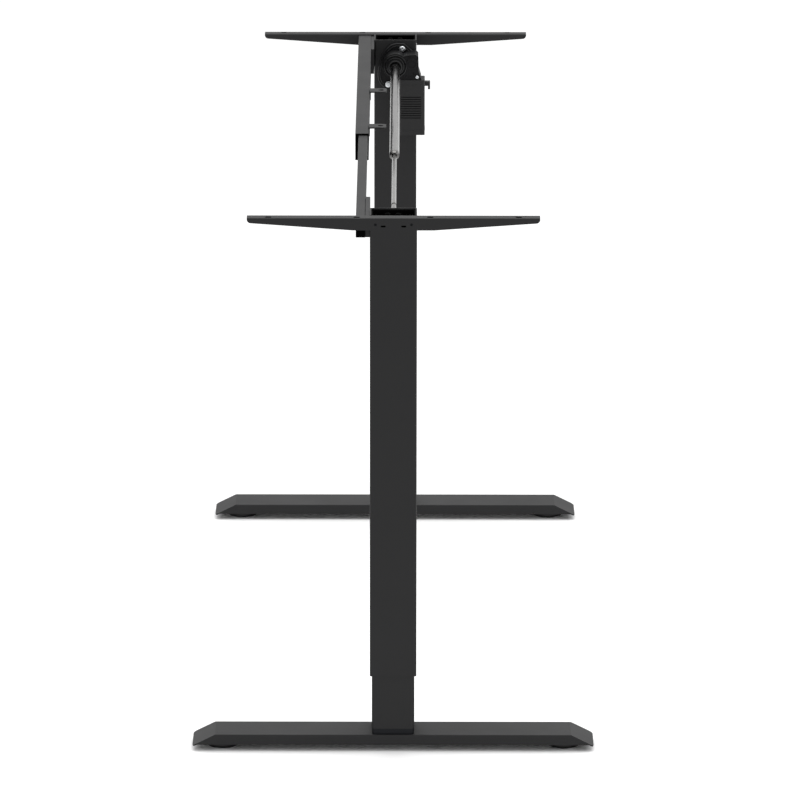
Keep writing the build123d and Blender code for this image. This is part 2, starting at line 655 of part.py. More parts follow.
def gearbox_screws():
    screws = []
    for y, z in GEARBOX_SCREWS[:2]:
        tip = RIGHT_INNER_FACE + COLUMN_WALL
        screws.append(screw_x(GEARBOX_PLATE - 3.5, tip, y, z, GEARBOX_SCREW_R, 4.4, 3.5))
    y, z = GEARBOX_SCREWS[2]
    screws.append(screw_x(GEARBOX_FRONT - 1.8, GEARBOX_SPLIT + 10, y, z, COVER_SCREW_R, 2.6, 1.8))
    return Compound(screws)


def worm_wheel():
    x = (WORM_X - 6, WORM_X + 6)
    wheel = rod_x(x, 0, SHAFT_Z, WHEEL_R) - rod_x(x, 0, SHAFT_Z, JOURNAL_R)
    for step in range(20):
        gap = Pos(WORM_X, 0, SHAFT_Z) * Rot(18 * step, 0, 0) * Pos(0, 0, WHEEL_R) * Box(12, 1.8, 3.6)
        wheel -= gap
    return wheel


def worm():
    threads = rod_z(WORM_X, WORM_Y, (771, 801), WORM_R)
    return threads + rod_z(WORM_X, WORM_Y, (735, 771), JOURNAL_R - 2)


def motor_body():
    body = fillet(block(MOTOR_X, MOTOR_Y, MOTOR_Z).edges().filter_by(Axis.Z), 3.5)
    body -= rod_z(WORM_X, WORM_Y, (733, MOTOR_Z[1] + 1), JOURNAL_R - 1.9)
    pitch = (RIB_Z[1] - RIB_Z[0]) / (RIB_COUNT - 1)
    for step in range(RIB_COUNT):
        z = RIB_Z[0] + pitch * step
        body -= block((MOTOR_X[0] - 1, MOTOR_X[0] + 1.2), (-42.5, MOTOR_Y[1] - 1), (z - 0.7, z + 0.7))
    return body


def motor_socket():
    arm = block((604, 616), (-57.5, MOTOR_Y[0]), (750.5, 757.5))
    return arm + block((604, 616), (-57.5, -54.0), (745.0, 750.5))


# ---- every part, by name ----
both_legs("foot", foot())
both_legs("front_glide", glide(-GLIDE_Y))
both_legs("rear_glide", glide(GLIDE_Y))
both_legs("glide_nut_bars", glide_nut_bars())
both_legs("base_plate", base_plate())
both_legs("foot_screws", foot_screws())
both_legs("inner_column", inner_column())
both_legs("upper_guide", upper_guide())
both_legs("screw_nut", screw_nut())
both_legs("outer_column", outer_column())
both_legs("lower_guide", lower_guide())
both_legs("gear_housing", gear_housing())
both_legs("gear_cover", gear_cover())
both_legs("top_bearing", top_bearing())
both_legs("screw_bevel_gear", screw_bevel_gear())
both_legs("lead_screw", lead_screw())
both_legs("side_bracket", side_bracket())
both_legs("bracket_screws", bracket_screws())

gear_reach = (LEFT_FACE, LEFT_FACE + COLUMN_HALF)
round_bore = rod_x(gear_reach, 0, SHAFT_Z, JOURNAL_R)
parts["left_shaft_bevel_gear"] = shaft_bevel_gear(hex_bar(gear_reach, HEX_FLATS))
parts["right_shaft_bevel_gear"] = mirror(shaft_bevel_gear(round_bore), about=Plane.YZ)

left_saddle_x = (-SADDLE_OUTER, LEFT_SADDLE_END)
right_saddle_x = (RIGHT_SADDLE_END, SADDLE_OUTER)
left_saddle_y = (COLUMN_HALF, INNER_BEAM_FRONT)
right_saddle_y = (COLUMN_HALF, BEAM_FRONT)
left_holes = (LEFT_FACE, LEFT_BEAM_SCREWS)
right_holes = (-LEFT_FACE, RIGHT_BEAM_SCREWS)
parts["left_beam_saddle"] = saddle(left_saddle_x, left_saddle_y, INNER_BEAM_BOTTOM, *left_holes)
parts["left_saddle_screws"] = saddle_screws(left_saddle_y, *left_holes)
parts["right_beam_saddle"] = saddle(right_saddle_x, right_saddle_y, BEAM_BOTTOM, *right_holes)
parts["right_saddle_screws"] = saddle_screws(right_saddle_y, *right_holes)

parts["outer_beam"] = outer_beam()
parts["inner_beam"] = inner_beam()
parts["inner_beam_cap"] = inner_beam_section((INNER_BEAM_LEFT - CAP_THICKNESS, INNER_BEAM_LEFT))
parts["outer_beam_cap"] = outer_beam_section((BEAM_RIGHT, BEAM_RIGHT + CAP_THICKNESS))
parts["beam_guide_insert"] = beam_guide_insert()
parts["width_clamp_screws"] = width_clamp_screws()
parts["top_tabs"] = Compound([top_tab(x) for x in TAB_X])

parts["shaft_tube"] = shaft_tube()
parts["hex_rod"] = hex_rod()
parts["stub_shaft"] = stub_shaft()
parts["worm_wheel"] = worm_wheel()
parts["worm"] = worm()
parts["gearbox_housing"] = gearbox_housing()
parts["gearbox_cover"] = gearbox_cover()
parts["gearbox_screws"] = gearbox_screws()
parts["motor_body"] = motor_body()
parts["motor_socket"] = motor_socket()

os.makedirs("parts", exist_ok=True)
for name, shape in parts.items():
    export_step(shape, "parts/" + name + ".step")
print(len(parts), "parts written")
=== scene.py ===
# %% [markdown]
# # A height adjustable desk frame
# The object is the steel frame of a sit-stand desk: two telescoping columns on flat feet, a
# bracket on each column for the desk top, a telescoping cross beam, and a bright cross shaft that
# a motor on the far column turns. Most shapes come straight from the CAD frame. Blender adds
# the finishes, and builds or adds to the small parts that need more detail than CAD gives them:
# the glides, the shaft, the gearbox, the motor housing and the screws.

# %% Load the frame and measure it
import json
import math
import random

import bmesh
import bpy
from mathutils import Matrix, Vector


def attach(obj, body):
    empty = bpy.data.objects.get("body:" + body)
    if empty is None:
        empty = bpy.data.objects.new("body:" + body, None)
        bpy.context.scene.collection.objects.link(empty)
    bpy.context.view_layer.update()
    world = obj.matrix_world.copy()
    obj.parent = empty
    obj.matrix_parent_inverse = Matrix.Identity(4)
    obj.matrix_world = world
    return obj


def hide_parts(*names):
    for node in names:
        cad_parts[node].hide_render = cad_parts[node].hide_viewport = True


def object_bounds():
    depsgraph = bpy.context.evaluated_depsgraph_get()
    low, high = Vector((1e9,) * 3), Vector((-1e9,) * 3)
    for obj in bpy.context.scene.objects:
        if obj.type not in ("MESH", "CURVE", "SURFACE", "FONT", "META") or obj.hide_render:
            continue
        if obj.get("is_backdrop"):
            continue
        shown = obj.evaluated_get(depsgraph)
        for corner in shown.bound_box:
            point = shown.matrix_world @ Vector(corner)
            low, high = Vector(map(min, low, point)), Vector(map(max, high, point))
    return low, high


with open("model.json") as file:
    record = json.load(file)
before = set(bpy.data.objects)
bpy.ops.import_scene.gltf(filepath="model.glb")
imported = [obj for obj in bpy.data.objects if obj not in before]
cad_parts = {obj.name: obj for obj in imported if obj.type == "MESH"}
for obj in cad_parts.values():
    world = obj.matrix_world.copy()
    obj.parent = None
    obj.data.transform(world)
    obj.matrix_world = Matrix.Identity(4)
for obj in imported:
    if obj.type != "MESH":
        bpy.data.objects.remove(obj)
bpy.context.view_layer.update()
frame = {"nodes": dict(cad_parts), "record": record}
nodes = frame["nodes"]

# %% [markdown]
# ## Camera
# The frame is seen almost end-on, from about 11 m away and 3.2 m up, and the camera looks down
# by 14 degrees. The lens is long, so the far column is only about a tenth narrower than the
# near one.

# %% Camera
PITCH_DOWN = math.radians(14.108)
YAW = math.radians(0.133)
ROLL = math.radians(0.047)
CAMERA_PLACE = Vector((-11.263, -0.0233, 3.2104))

look = Vector((
    math.cos(PITCH_DOWN) * math.cos(YAW),
    math.cos(PITCH_DOWN) * math.sin(YAW),
    -math.sin(PITCH_DOWN),
))
level_right = look.cross(Vector((0, 0, 1))).normalized()
level_up = level_right.cross(look)
camera_right = level_right * math.cos(ROLL) + level_up * math.sin(ROLL)
camera_up = camera_right.cross(look)

camera_data = bpy.data.cameras.new("Camera")
camera_data.sensor_width = 36.0
camera_data.lens = 335.86
camera_data.clip_start = 0.5
camera_data.clip_end = 60.0
camera = bpy.data.objects.new("Camera", camera_data)
bpy.context.scene.collection.objects.link(camera)
turn = Matrix((camera_right, camera_up, -look)).transposed()
camera.matrix_world = Matrix.Translation(CAMERA_PLACE) @ turn.to_4x4()
bpy.context.scene.camera = camera
print("camera", tuple(round(v, 3) for v in camera.location), "lens", camera_data.lens)

# %% [markdown]
# ## Colours and nodes
# Colours are written as the hex values a paint chart gives, and Blender mixes light in linear
# values, so one function converts them. A second small function adds one shader node at a time
# with its settings and its links, and every finish below is built with it.


# %% Two helpers for finishes
def linear(hex_colour):
    """sRGB hex to linear RGBA."""
    channels = [int(hex_colour[i:i + 2], 16) / 255 for i in (1, 3, 5)]
    return [c / 12.92 if c <= 0.04045 else ((c + 0.055) / 1.055) ** 2.4 for c in channels] + [1.0]


def add_node(tree, kind, settings=None, links=None):
    """Add one node, set its sockets or properties, and link the outputs that feed it."""
    node = tree.nodes.new(kind)
    for name, value in (settings or {}).items():
        if name in node.inputs:
            node.inputs[name].default_value = value
        else:
            setattr(node, name, value)
    for name, source in (links or {}).items():
        tree.links.new(source, node.inputs[name])
    return node


def new_finish(name, shader_settings):
    """A material with one shader, and coordinates in metres that stay with the part."""
    material = bpy.data.materials.new(name)
    material.use_nodes = True
    tree = material.node_tree
    tree.nodes.clear()
    shader = add_node(tree, "ShaderNodeBsdfPrincipled", shader_settings)
    add_node(tree, "ShaderNodeOutputMaterial", None, {"Surface": shader.outputs["BSDF"]})
    place = add_node(tree, "ShaderNodeTexCoord").outputs["Object"]
    return material, tree, shader, place


MM = 0.001


def per_metre(size_mm):
    """Noise scale that gives features of about this size."""
    return 1 / (size_mm * MM)


def tint_between(tree, colours, pattern):
    """A colour that moves between two hex colours as a pattern goes from 0 to 1."""
    ends = {"Color1": linear(colours[0]), "Color2": linear(colours[1])}
    return add_node(tree, "ShaderNodeMixRGB", ends, {"Fac": pattern})


def roughness_about(tree, middle, spread, pattern):
    """A roughness that moves a little either side of its middle value."""
    ends = {"To Min": middle - spread, "To Max": middle + spread}
    return add_node(tree, "ShaderNodeMapRange", ends, {"Value": pattern})


def feed_shader(tree, shader, tint, rough, bump):
    tree.links.new(tint.outputs["Color"], shader.inputs["Base Color"])
    tree.links.new(rough.outputs["Result"], shader.inputs["Roughness"])
    tree.links.new(bump.outputs["Normal"], shader.inputs["Normal"])


# %% [markdown]
# ## Powder coat
# Nearly all the steel is powder coated: dry paint that melts and flows out on the hot part. It
# leaves a semi-matt black skin with a very fine grain and a slight orange peel. The grain is a
# noise bump. The real grain is about 0.3 mm, which is too fine to show, so it is drawn at
# 0.9 mm. A broad soft noise changes the roughness a little, as uneven film thickness does. The
# gearbox is a painted casting, duller and blacker, and its sharp rims are painted a lighter grey
# as a painted highlight, for the thin lines of light they catch.


# %% Powder coat, black, semi-matt
POWDER_IOR = 1.36
PEEL_MM = 6.0
PEEL_DEPTH_MM = 0.02
FILM_MM = 70.0
FILM_SPREAD = 0.05


def powder_coat(name, colour, grain_mm, grain_depth_mm, roughness, gloss=0.5):
    material, tree, shader, place = new_finish(
        name, {"IOR": POWDER_IOR, "Metallic": 0.0, "Specular IOR Level": gloss})
    grain = add_node(tree, "ShaderNodeTexNoise",
                     {"Scale": per_metre(grain_mm), "Detail": 3.0, "Roughness": 0.6}, {"Vector": place})
    peel = add_node(tree, "ShaderNodeTexNoise",
                    {"Scale": per_metre(PEEL_MM), "Detail": 1.0}, {"Vector": place})
    film = add_node(tree, "ShaderNodeTexNoise",
                    {"Scale": per_metre(FILM_MM), "Detail": 2.0}, {"Vector": place})
    rough = roughness_about(tree, roughness, FILM_SPREAD, film.outputs["Fac"])
    tint = tint_between(tree, colour, grain.outputs["Fac"])
    soft = add_node(tree, "ShaderNodeBump",
                    {"Strength": 0.5, "Distance": PEEL_DEPTH_MM * MM}, {"Height": peel.outputs["Fac"]})
    fine = add_node(tree, "ShaderNodeBump",
                    {"Strength": 0.6, "Distance": grain_depth_mm * MM},
                    {"Height": grain.outputs["Fac"], "Normal": soft.outputs["Normal"]})
    feed_shader(tree, shader, tint, rough, fine)
    return material


powder_coated_steel = powder_coat("powder_coated_steel_black", ("#0f0f10", "#161617"), 0.9, 0.03, 0.52)
painted_casting = powder_coat(
    "painted_die_cast_aluminium_black", ("#08080a", "#0e0e0f"), 1.6, 0.05, 0.5, 0.26)
# Painted highlight: the gearbox rims and rings get a lighter grey and more gloss, for the lines of light on
# their edges.
rim_highlight_casting = powder_coat("painted_die_cast_rims_painted_highlight", ("#151516", "#1e1e1f"), 1.6, 0.03, 0.36, 0.6)
print("finishes:", powder_coated_steel.name, painted_casting.name, rim_highlight_casting.name)

# %% [markdown]
# ## Moulded plastics
# Caps, the motor housing and the glides are moulded from black ABS or polyamide. The mould is
# spark eroded, which leaves a fine matt grain on the plastic, about 0.2 mm across. It is drawn
# at 0.7 mm. Guides and nuts inside are natural nylon, milky and slightly translucent.


# %% Moulded black plastic and natural nylon
CLOUD_MM = 18.0
GRAIN_DEPTH_MM = 0.03


def moulded_plastic(name, colours, roughness, grain_mm, glow=0.0, gloss=0.5):
    material, tree, shader, place = new_finish(name, {
        "IOR": 1.5, "Specular IOR Level": gloss,
        "Subsurface Weight": glow, "Subsurface Scale": 2 * MM})
    grain = add_node(tree, "ShaderNodeTexVoronoi", {"Scale": per_metre(grain_mm)}, {"Vector": place})
    cloud = add_node(tree, "ShaderNodeTexNoise",
                     {"Scale": per_metre(CLOUD_MM), "Detail": 2.0}, {"Vector": place})
    tint = tint_between(tree, colours, cloud.outputs["Fac"])
    rough = roughness_about(tree, roughness, 0.06, cloud.outputs["Fac"])
    bump = add_node(tree, "ShaderNodeBump",
                    {"Strength": 0.35, "Distance": GRAIN_DEPTH_MM * MM},
                    {"Height": grain.outputs["Distance"]})
    feed_shader(tree, shader, tint, rough, bump)
    return material


black_abs = moulded_plastic("spark_eroded_abs_black", ("#0d0d0e", "#131314"), 0.5, 0.7, gloss=0.32)
# Near black with almost no sheen: the caps' own black darkened as painted shade, and the colour of the
# painted shade pieces in slots, grooves and holes.
near_black_plastic_and_painted_shade = moulded_plastic(
    "dull_black_abs_and_painted_shade", ("#020202", "#040404"), 0.9, 0.7, gloss=0.03)
black_polyamide = moulded_plastic("moulded_polyamide_black", ("#070707", "#0c0c0c"), 0.42, 0.7, gloss=0.3)
natural_nylon = moulded_plastic("natural_nylon", ("#d2cec0", "#dedace"), 0.42, 0.7, 0.15)
print("finishes:", black_abs.name, black_polyamide.name, natural_nylon.name)

# %% [markdown]
# ## Bright metals
# The cross shaft is cold drawn and plated, screws are zinc plated or blackened, and the gears
# are machined. Drawing leaves long fine lines along the bar. In noise that is done by squeezing
# the coordinates: many changes across the bar and few along it. Screws and gears are too small
# for their turning marks to show, so their grain is the same in all directions.


# %% Drawn, plated and machined steel
STAIN_MM = 25.0
LENGTHWISE = (0.01, 1, 1)
LENGTHWISE_ROD = (0.004, 1, 1)
ALL_WAYS = (1, 1, 1)
LENGTHWISE_UPRIGHT = (1, 1, 0.05)


def bright_metal(name, colours, roughness, line_mm, along, line_depth_mm):
    """Metal with fine lines; along gives how much each axis is stretched."""
    material, tree, shader, place = new_finish(name, {"Metallic": 1.0})
    squeeze = add_node(tree, "ShaderNodeMapping", {"Scale": along}, {"Vector": place})
    lines = add_node(tree, "ShaderNodeTexNoise",
                     {"Scale": per_metre(line_mm), "Detail": 4.0}, {"Vector": squeeze.outputs["Vector"]})
    cloud = add_node(tree, "ShaderNodeTexNoise",
                     {"Scale": per_metre(STAIN_MM), "Detail": 2.0}, {"Vector": place})
    tint = tint_between(tree, colours, lines.outputs["Fac"])
    rough = roughness_about(tree, roughness, 0.06, cloud.outputs["Fac"])
    bump = add_node(tree, "ShaderNodeBump",
                    {"Strength": 0.4, "Distance": line_depth_mm * MM}, {"Height": lines.outputs["Fac"]})
    feed_shader(tree, shader, tint, rough, bump)
    return material


plated_tube = bright_metal(
    "nickel_plated_drawn_tube", ("#5d5c5b", "#656463"), 0.18, 2.0, LENGTHWISE, 0.0004)
drawn_bar = bright_metal(
    "bright_drawn_steel", ("#6a6967", "#72716f"), 0.22, 3.0, LENGTHWISE_ROD, 0.0006)
zinc_plate = bright_metal("zinc_plated_steel", ("#c2c5c8", "#dadcdd"), 0.3, 1.2, ALL_WAYS, 0.03)
black_oxide = bright_metal("black_oxide_steel", ("#1c1d1f", "#27282a"), 0.45, 1.0, ALL_WAYS, 0.02)
machined_steel = bright_metal("machined_gear_steel", ("#8f8f8e", "#a5a5a3"), 0.34, 0.6, ALL_WAYS, 0.03)
rolled_screw = bright_metal(
    "rolled_lead_screw_steel", ("#a8a8a6", "#bdbdba"), 0.28, 0.8, LENGTHWISE_UPRIGHT, 0.02)
print("finishes:", plated_tube.name, drawn_bar.name, zinc_plate.name, black_oxide.name)
print("finishes:", machined_steel.name, rolled_screw.name)

# %% [markdown]
# ## Finishes on the CAD parts
# Each CAD part keeps its own shape and gets the finish its record names. Two finishes are set
# here instead: the lead screws are rolled, so their lines run along Z, and the caps, covers and
# liners that close the tubes are a duller black than the motor housing, darkened further as painted shade
# for the dark pockets they sit in.

# %% Give each CAD part its finish
FINISH_OF_SLOT = {
    "painted_steel": powder_coated_steel,
    "chromed_tube": plated_tube,
    "bright_steel": drawn_bar,
    "zinc_screws": zinc_plate,
    "black_screws": black_oxide,
    "black_casting": painted_casting,
    "gear_steel": machined_steel,
    "nylon": natural_nylon,
    "black_plastic": black_abs,
    "glide_plastic": black_polyamide,
}
slot_of = {row["node"]: row["material_slot"] for row in frame["record"]["subparts"]}
DULL_PARTS = ("gear_cover", "beam_cap", "guide_insert")

for name, part in nodes.items():
    part.data.materials.clear()
    part.data.materials.append(FINISH_OF_SLOT[slot_of[name]])
    if name.endswith("lead_screw"):
        part.data.materials[0] = rolled_screw
    if name.endswith(DULL_PARTS):
        part.data.materials[0] = near_black_plastic_and_painted_shade
print("finished CAD parts:", len(nodes))


# %% [markdown]
# ## Tools for building pieces
# The detailed pieces are meshes built point by point in millimetres. Three ways cover them:
# turning a profile round an axis, for pads, shafts, hexagons and screw heads; extruding an
# outline, for bars; and sweeping a small round section along a path, for ribs, welds and
# threads. `finish_piece` turns the result into an object on the right moving body.


# %% Turn, extrude and sweep
def frame_round(axis):
    """Two directions square to the axis."""
    axis = Vector(axis).normalized()
    side = Vector((0, 0, 1)) if abs(axis.z) < 0.9 else Vector((1, 0, 0))
    across = axis.cross(side).normalized()
    return axis, across, axis.cross(across)


def ring_of_points(mesh, centre, across, up, radius, angles):
    return [mesh.verts.new(centre + (across * math.cos(a) + up * math.sin(a)) * radius) for a in angles]


def full_turn(sides, first_angle=0.0):
    return [first_angle + 2 * math.pi * i / sides for i in range(sides)]


def turned(mesh, origin, axis, profile, sides=48):
    """Turn (distance along the axis, radius) points; radius 0 closes the end."""
    axis, across, up = frame_round(axis)
    origin = Vector(origin)
    rings = []
    for along, radius in profile:
        centre = origin + axis * along
        if radius == 0:
            rings.append([mesh.verts.new(centre)])
            continue
        rings.append(ring_of_points(mesh, centre, across, up, radius, full_turn(sides)))
    for low, high in zip(rings, rings[1:]):
        for i in range(sides):
            k = (i + 1) % sides
            corners = [low[i % len(low)], low[k % len(low)], high[k % len(high)], high[i % len(high)]]
            unique = list(dict.fromkeys(corners))
            if len(unique) > 2:
                mesh.faces.new(unique)


def extruded(mesh, outline, origin, across, up, along, taper=1.0):
    """Extrude (u, v) points along a vector; taper scales the far end about the outline's middle."""
    origin, across, up, along = Vector(origin), Vector(across), Vector(up), Vector(along)
    mid_u = sum(u for u, _ in outline) / len(outline)
    mid_v = sum(v for _, v in outline) / len(outline)
    near = [mesh.verts.new(origin + across * u + up * v) for u, v in outline]
    far = []
    for u, v in outline:
        u, v = mid_u + (u - mid_u) * taper, mid_v + (v - mid_v) * taper
        far.append(mesh.verts.new(origin + across * u + up * v + along))
    mesh.faces.new(near)
    mesh.faces.new(far[::-1])
    for i in range(len(outline)):
        k = (i + 1) % len(outline)
        mesh.faces.new((near[i], far[i], far[k], near[k]))


def swept(mesh, path, radius, sides=8, closed=False, squash=1.0, flat_way=(0, 0, 1)):
    """Sweep a round or flattened section along points."""
    path = [Vector(p) for p in path]
    flat_way = Vector(flat_way)
    rings = []
    for i, point in enumerate(path):
        before = path[i - 1] if i or closed else path[i]
        after = path[(i + 1) % len(path)] if i + 1 < len(path) or closed else path[i]
        ahead = (after - before).normalized()
        across = ahead.cross(flat_way).normalized()
        up = across.cross(ahead)
        ring = []
        for k in range(sides):
            angle = 2 * math.pi * k / sides
            sideways = across * (radius * math.cos(angle))
            upward = up * (radius * squash * math.sin(angle))
            ring.append(mesh.verts.new(point + sideways + upward))
        rings.append(ring)
    pairs = list(zip(rings, rings[1:])) + ([(rings[-1], rings[0])] if closed else [])
    for low, high in pairs:
        for k in range(sides):
            n = (k + 1) % sides
            mesh.faces.new((low[k], low[n], high[n], high[k]))
    if not closed:
        mesh.faces.new(rings[0][::-1])
        mesh.faces.new(rings[-1])


def finish_piece(name, mesh, body, finish, replaces=(), bevel_mm=0.0, sharp_degrees=35):
    """Close the mesh, make the object, and ride it on its moving body."""
    bmesh.ops.recalc_face_normals(mesh, faces=mesh.faces[:])
    bmesh.ops.scale(mesh, vec=(MM, MM, MM), verts=mesh.verts[:])
    data = bpy.data.meshes.new(name)
    mesh.to_mesh(data)
    mesh.free()
    data.materials.append(finish)
    data.shade_smooth()
    data.set_sharp_from_angle(angle=math.radians(sharp_degrees))
    piece = bpy.data.objects.new(name, data)
    bpy.context.scene.collection.objects.link(piece)
    if bevel_mm:
        bevel = piece.modifiers.new("rounded edges", "BEVEL")
        bevel.width = bevel_mm * MM
        bevel.segments = 2
        bevel.limit_method = "ANGLE"
        bevel.angle_limit = math.radians(sharp_degrees)
        bevel.harden_normals = True
    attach(piece, body)
    if replaces:
        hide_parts(*replaces)
    return piece


print("tools ready")

# %% [markdown]
# ## Levelling glides
# Under each end of a foot is a round moulded pad on a threaded stud. The pad is turned, with a
# rounded lower edge so it slides over carpet, and a raised ring that takes a spanner's grip. The
# stud's thread is a coarse spiral sweep round a core.

# %% Glides
LEG_X = 668.5
GLIDE_Y = 257.0
PAD_PROFILE = [(0.0, 0), (0.0, 19.5), (0.5, 22.0), (1.2, 23.4), (2.4, 24.2), (5.8, 24.2), (6.7, 23.9),
               (7.2, 23.2), (7.4, 21.5), (7.4, 13.2), (7.7, 12.6), (9.0, 12.3), (9.3, 11.8), (9.3, 0)]
THREAD_PITCH = 1.25
STUD_TOP = 22.5
STUD_CORE_R = 3.6
STUD_PROFILE = [(9.2, 0), (9.2, STUD_CORE_R), (STUD_TOP - 0.8, STUD_CORE_R), (STUD_TOP, 2.8), (STUD_TOP, 0)]


def spiral(radius, z_low, z_high, pitch, x, y, steps=18):
    count = int((z_high - z_low) / pitch * steps)
    return [(x + radius * math.cos(2 * math.pi * i / steps), y + radius * math.sin(2 * math.pi * i / steps),
             z_low + pitch * i / steps) for i in range(count + 1)]


for leg, x in (("left", -LEG_X), ("right", LEG_X)):
    for end, y in (("front", -GLIDE_Y), ("rear", GLIDE_Y)):
        body = f"{leg}_{end}_glide"
        pad = bmesh.new()
        turned(pad, (x, y, 0), (0, 0, 1), PAD_PROFILE, sides=96)
        finish_piece(f"{body}_pad", pad, body, black_polyamide, [body])
        stud = bmesh.new()
        turned(stud, (x, y, 0), (0, 0, 1), STUD_PROFILE)
        swept(stud, spiral(3.55, 9.6, STUD_TOP - 1.2, THREAD_PITCH, x, y), 0.42, sides=6)
        finish_piece(f"{body}_stud", stud, body, zinc_plate)
print("glides: 4 pads, 4 studs")

# %% [markdown]
# ## Cross shaft
# The shaft telescopes as the frame widens: a hexagonal rod slides in a round tube. The tube's
# mouth has a collar with a chamfer, and the rod has a turned neck close to the near leg. Both
# are turned or extruded about the shaft's axis, and both are drawn a little slimmer than in the
# CAD frame: 0.4 mm a side for the tube and 0.3 mm for the rod.

# %% Tube and hexagonal rod
SHAFT_Z = 786.0
TUBE_R = 7.6
TUBE_MOUTH = -102.0
TUBE_RIGHT = 596.0
tube = bmesh.new()
TUBE_LENGTH = TUBE_RIGHT - TUBE_MOUTH
collar_mouth = [(12, 3.75), (0.5, 3.75), (0.0, 4.0), (0.2, 4.3), (3.2, TUBE_R - 0.2), (3.8, TUBE_R)]
collar_groove = [(10.0, TUBE_R), (10.6, TUBE_R - 0.5), (11.6, TUBE_R - 0.5), (12.2, TUBE_R)]
far_end = [(TUBE_LENGTH - 0.8, TUBE_R), (TUBE_LENGTH, TUBE_R - 0.6), (TUBE_LENGTH, 5.4), (600, 5.3)]
tube_profile = collar_mouth + collar_groove + [(40, TUBE_R)] + far_end
turned(tube, (TUBE_MOUTH, 0, SHAFT_Z), (1, 0, 0), tube_profile, sides=72)
finish_piece("shaft_tube_turned", tube, "cross_tube", plated_tube, ["shaft_tube"])

ROD_LEFT = -660.0
ROD_RIGHT = 70.0
NECK_X = -455.0
ROD_FLATS = 6.4
CORNER_R = ROD_FLATS / math.sqrt(3)
rod = bmesh.new()
ROD_LENGTH = ROD_RIGHT - ROD_LEFT
NECK_AT = NECK_X - ROD_LEFT
near_stretch = [(0, 0), (0, 3.2), (0.8, CORNER_R), (NECK_AT - 5, CORNER_R), (NECK_AT - 4.4, 2.4)]
far_stretch = [(NECK_AT + 4.4, 2.4), (NECK_AT + 5, CORNER_R),
               (ROD_LENGTH - 0.8, CORNER_R), (ROD_LENGTH, 3.2), (ROD_LENGTH, 0)]
for stretch in (near_stretch, far_stretch):
    turned(rod, (ROD_LEFT, 0, SHAFT_Z), (1, 0, 0), stretch, sides=6)
turned(rod, (NECK_X, 0, SHAFT_Z), (1, 0, 0), [(-5.5, 2.3), (-4, 2.3), (4, 2.3), (5.5, 2.3)], sides=32)
finish_piece("hex_rod_drawn", rod, "cross_rod", drawn_bar, ["hex_rod"], bevel_mm=0.25)
print("cross shaft: tube and rod")

# %% [markdown]
# ## Screws
# A pan head is a low dome with a cross recess. The dome is a set of rings of points, and the
# points that fall inside the cross are pushed down. That is simpler than cutting, and it leaves
# a closed mesh.


# %% Screw heads
def pan_head(mesh, seat, way, radius, height, cross=0.55, depth=0.55):
    """Domed head on a washer face, with a sunk cross. seat is under the head; way points out."""
    way, across, up = frame_round(way)
    seat = Vector(seat)
    sides, rings = 48, 8
    half_slot = 0.14
    grid = []
    for r in range(rings + 1):
        share = 1 - r / rings
        ring = []
        for i in range(sides):
            angle = 2 * math.pi * i / sides
            dome = height * (0.62 + 0.38 * math.sqrt(max(0.0, 1 - share ** 2.6)))
            u, v = share * math.cos(angle), share * math.sin(angle)
            in_cross = (min(abs(u), abs(v)) < half_slot) and (max(abs(u), abs(v)) < cross)
            lift = dome - (height * depth * (1 - share * 0.6) if in_cross else 0)
            ring.append(mesh.verts.new(seat + across * (u * radius) + up * (v * radius) + way * lift))
        grid.append(ring)
        if r == rings - 1:
            break
    centre = mesh.verts.new(seat + way * height * (1 - depth))
    base = ring_of_points(mesh, seat, across, up, radius, full_turn(sides))
    walls = [base] + grid
    for low, high in zip(walls, walls[1:]):
        for i in range(sides):
            k = (i + 1) % sides
            mesh.faces.new((low[i], low[k], high[k], high[i]))
    for i in range(sides):
        mesh.faces.new((grid[-1][i], grid[-1][(i + 1) % sides], centre))
    mesh.faces.new(base[::-1])


def shank(mesh, start, way, length, radius):
    tip = [(length - radius * 0.6, radius), (length, radius * 0.4), (length, 0)]
    turned(mesh, start, way, [(0, 0), (0, radius)] + tip, sides=24)


GEARBOX_SCREWS = ((-11.6, 808.8), (11.8, 748.2), (-36.0, 768.0))
GEARBOX_FRONT, GEARBOX_PLATE = 591.5, 627.5
WASHER = [(0, 2.6), (0, 5.0), (0.8, 5.0), (0.8, 2.6)]
WASHER_H = 0.8
screws = bmesh.new()
for y, z in GEARBOX_SCREWS[:2]:
    turned(screws, (GEARBOX_PLATE, y, z), (-1, 0, 0), WASHER, sides=40)
    pan_head(screws, (GEARBOX_PLATE - WASHER_H, y, z), (-1, 0, 0), 4.3, 2.8)
    shank(screws, (GEARBOX_PLATE - WASHER_H, y, z), (1, 0, 0), 8.6, 2.4)
y, z = GEARBOX_SCREWS[2]
pan_head(screws, (GEARBOX_FRONT, y, z), (-1, 0, 0), 2.6, 1.8)
shank(screws, (GEARBOX_FRONT, y, z), (1, 0, 0), 21.0, 1.4)
finish_piece("gearbox_screw_set", screws, "right_frame", zinc_plate, ["gearbox_screws"])
print("gearbox screws: 3")

# %% [markdown]
# ## Gearbox
# The worm gearbox is a painted die casting. Its drafted walls and rounded edges catch thin
# lines of light, and that is how the eye reads its shape: a tall arch over the shaft with a
# double rim, a straight double ridge down to the motor, and rings round the hub. The CAD gives
# the body. The rims, ridges, rings, bosses and holes are swept and turned onto it here.

# %% Gearbox rims, rings and bosses
HUB_FRONT = 583.5
HUB_RING_PROFILES = (
    [(0.3, 8.6), (-0.5, 8.9), (-0.9, 9.6), (-0.9, 10.6), (-0.5, 11.3), (0.3, 11.6)],
    [(8.2, 12.3), (7.2, 12.9), (6.8, 13.6), (7.2, 14.4), (8.2, 14.9)],
    [(8.4, 17.0), (7.3, 17.4), (6.9, 18.1), (7.3, 18.8), (8.4, 19.3)],
)


